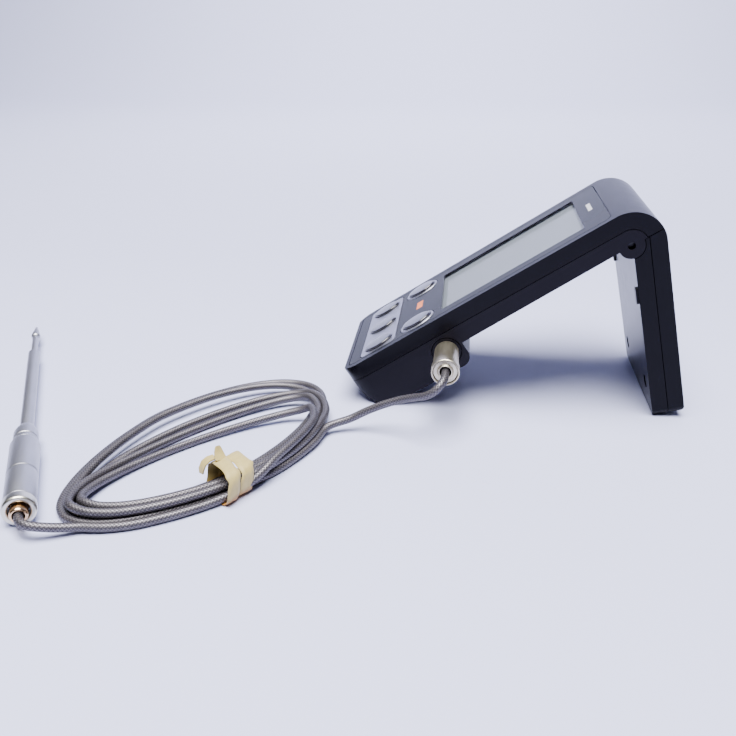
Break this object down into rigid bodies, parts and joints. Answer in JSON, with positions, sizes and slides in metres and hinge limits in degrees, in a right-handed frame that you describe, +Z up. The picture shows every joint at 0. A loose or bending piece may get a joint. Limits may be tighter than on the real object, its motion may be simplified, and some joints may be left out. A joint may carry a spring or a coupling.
{
  "type": "meat thermometer",
  "caption": "Wedge-shaped digital display unit on a fold-out stand, with a plug-in steel probe on a coiled, steel-braided cable.",
  "frame": {"origin": "bottom centre of the box around the display unit, its open stand and the probe lying beside it; the table is the plane z = 0", "axes": "+Z up, +Y from the keys up the sloping face towards the hinge and stand, +X to the right of a person facing the keys, the side the plug stands out of"},
  "size_m": [0.1373, 0.253, 0.0699],
  "materials": {
    "case_gloss": "glossy black",
    "case_satin": "satin black",
    "lens": "clear over a smoke-grey print",
    "panel_silver": "silver paint",
    "key_black": "glossy black, domed",
    "lcd": "light grey-green liquid crystal display",
    "white_plastic": "white",
    "soft_grey": "dark grey elastomer",
    "board": "green solder mask",
    "brass_contact": "tin-plated spring brass",
    "dark_steel": "blackened steel",
    "pin_steel": "plain steel",
    "nickel": "polished champagne nickel",
    "cell_sleeve": "printed foil sleeve over the can",
    "magnet": "nickel-plated ferrite",
    "braid": "fine woven steel braid",
    "coil_braid": "fine woven steel braid over a soft core",
    "tie": "cream paper over a wire core",
    "probe_steel": "polished and knurled stainless steel",
    "ferrule": "bright plated crimp",
    "sensor": "glass-ceramic bead"
  },
  "bodies": {
    "housing": {"front_housing": "case_gloss", "rear_housing": "case_satin", "display_lens": "lens", "key_panel": "panel_silver", "key_ring_upper_left": "panel_silver", "key_ring_upper_right": "panel_silver", "key_mat": "soft_grey", "lcd_glass": "lcd", "lcd_frame": "white_plastic", "contact_strip": "soft_grey", "circuit_board": "board", "buzzer": "case_satin", "probe_jack": "case_satin", "battery_front": "cell_sleeve", "battery_rear": "cell_sleeve", "contact_bridge": "brass_contact", "contact_positive": "brass_contact", "contact_negative": "brass_contact", "housing_screw_1": "dark_steel", "housing_screw_2": "dark_steel", "housing_screw_3": "dark_steel", "housing_screw_4": "dark_steel", "hinge_pin_left": "pin_steel", "hinge_pin_right": "pin_steel"},
    "stand": {"stand_inner_shell": "case_gloss", "stand_outer_shell": "case_gloss", "stand_magnet_left": "magnet", "stand_magnet_right": "magnet", "stand_screw_left": "dark_steel", "stand_screw_right": "dark_steel", "stand_nub_left": "case_satin", "stand_nub_right": "case_satin"},
    "battery_door": {"battery_door": "case_satin"},
    "probe_cable": {"plug_tip": "nickel", "plug_insulator": "case_satin", "plug_sleeve": "nickel", "plug_barrel": "nickel", "plug_end_ring": "nickel", "cable_plug_lead": "braid", "cable_coil": "coil_braid", "cable_probe_lead": "braid", "cable_tie": "tie", "probe_ferrule": "ferrule", "probe_end_ring": "probe_steel", "probe_grip": "probe_steel", "probe_collar": "probe_steel", "probe_tube": "probe_steel", "probe_shank": "probe_steel", "probe_point": "probe_steel", "probe_sensor": "sensor"},
    "key_lower_left": {"key_lower_left": "key_black"},
    "key_lower_center": {"key_lower_center": "key_black"},
    "key_lower_right": {"key_lower_right": "key_black"},
    "key_upper_left": {"key_upper_left": "key_black"},
    "key_upper_right": {"key_upper_right": "key_black"}
  },
  "joints": [
    {"name": "stand_hinge", "type": "hinge", "parent": "housing", "child": "stand", "pos_m": [-0.0417, 0.10276, 0.05921], "axis": [1, 0, 0], "range_deg": [-69.2, 0]},
    {"name": "battery_door_slide", "type": "slide", "parent": "housing", "child": "battery_door", "axis": [0, 0.8372, 0.5468], "range_m": [0, 0.02]},
    {"name": "plug_pull", "type": "slide", "parent": "housing", "child": "probe_cable", "axis": [1, 0, 0], "range_m": [0, 0.018]},
    {"name": "key_lower_left_press", "type": "slide", "parent": "housing", "child": "key_lower_left", "axis": [0, 0.5468, -0.8372], "range_m": [0, 0.0005], "stiffness_N_per_m": 200, "springref_m": -0.0005},
    {"name": "key_lower_center_press", "type": "slide", "parent": "housing", "child": "key_lower_center", "axis": [0, 0.5468, -0.8372], "range_m": [0, 0.0005], "stiffness_N_per_m": 200, "springref_m": -0.0005},
    {"name": "key_lower_right_press", "type": "slide", "parent": "housing", "child": "key_lower_right", "axis": [0, 0.5468, -0.8372], "range_m": [0, 0.0005], "stiffness_N_per_m": 200, "springref_m": -0.0005},
    {"name": "key_upper_left_press", "type": "slide", "parent": "housing", "child": "key_upper_left", "axis": [0, 0.5468, -0.8372], "range_m": [0, 0.0005], "stiffness_N_per_m": 200, "springref_m": -0.0005},
    {"name": "key_upper_right_press", "type": "slide", "parent": "housing", "child": "key_upper_right", "axis": [0, 0.5468, -0.8372], "range_m": [0, 0.0005], "stiffness_N_per_m": 200, "springref_m": -0.0005}
  ]
}
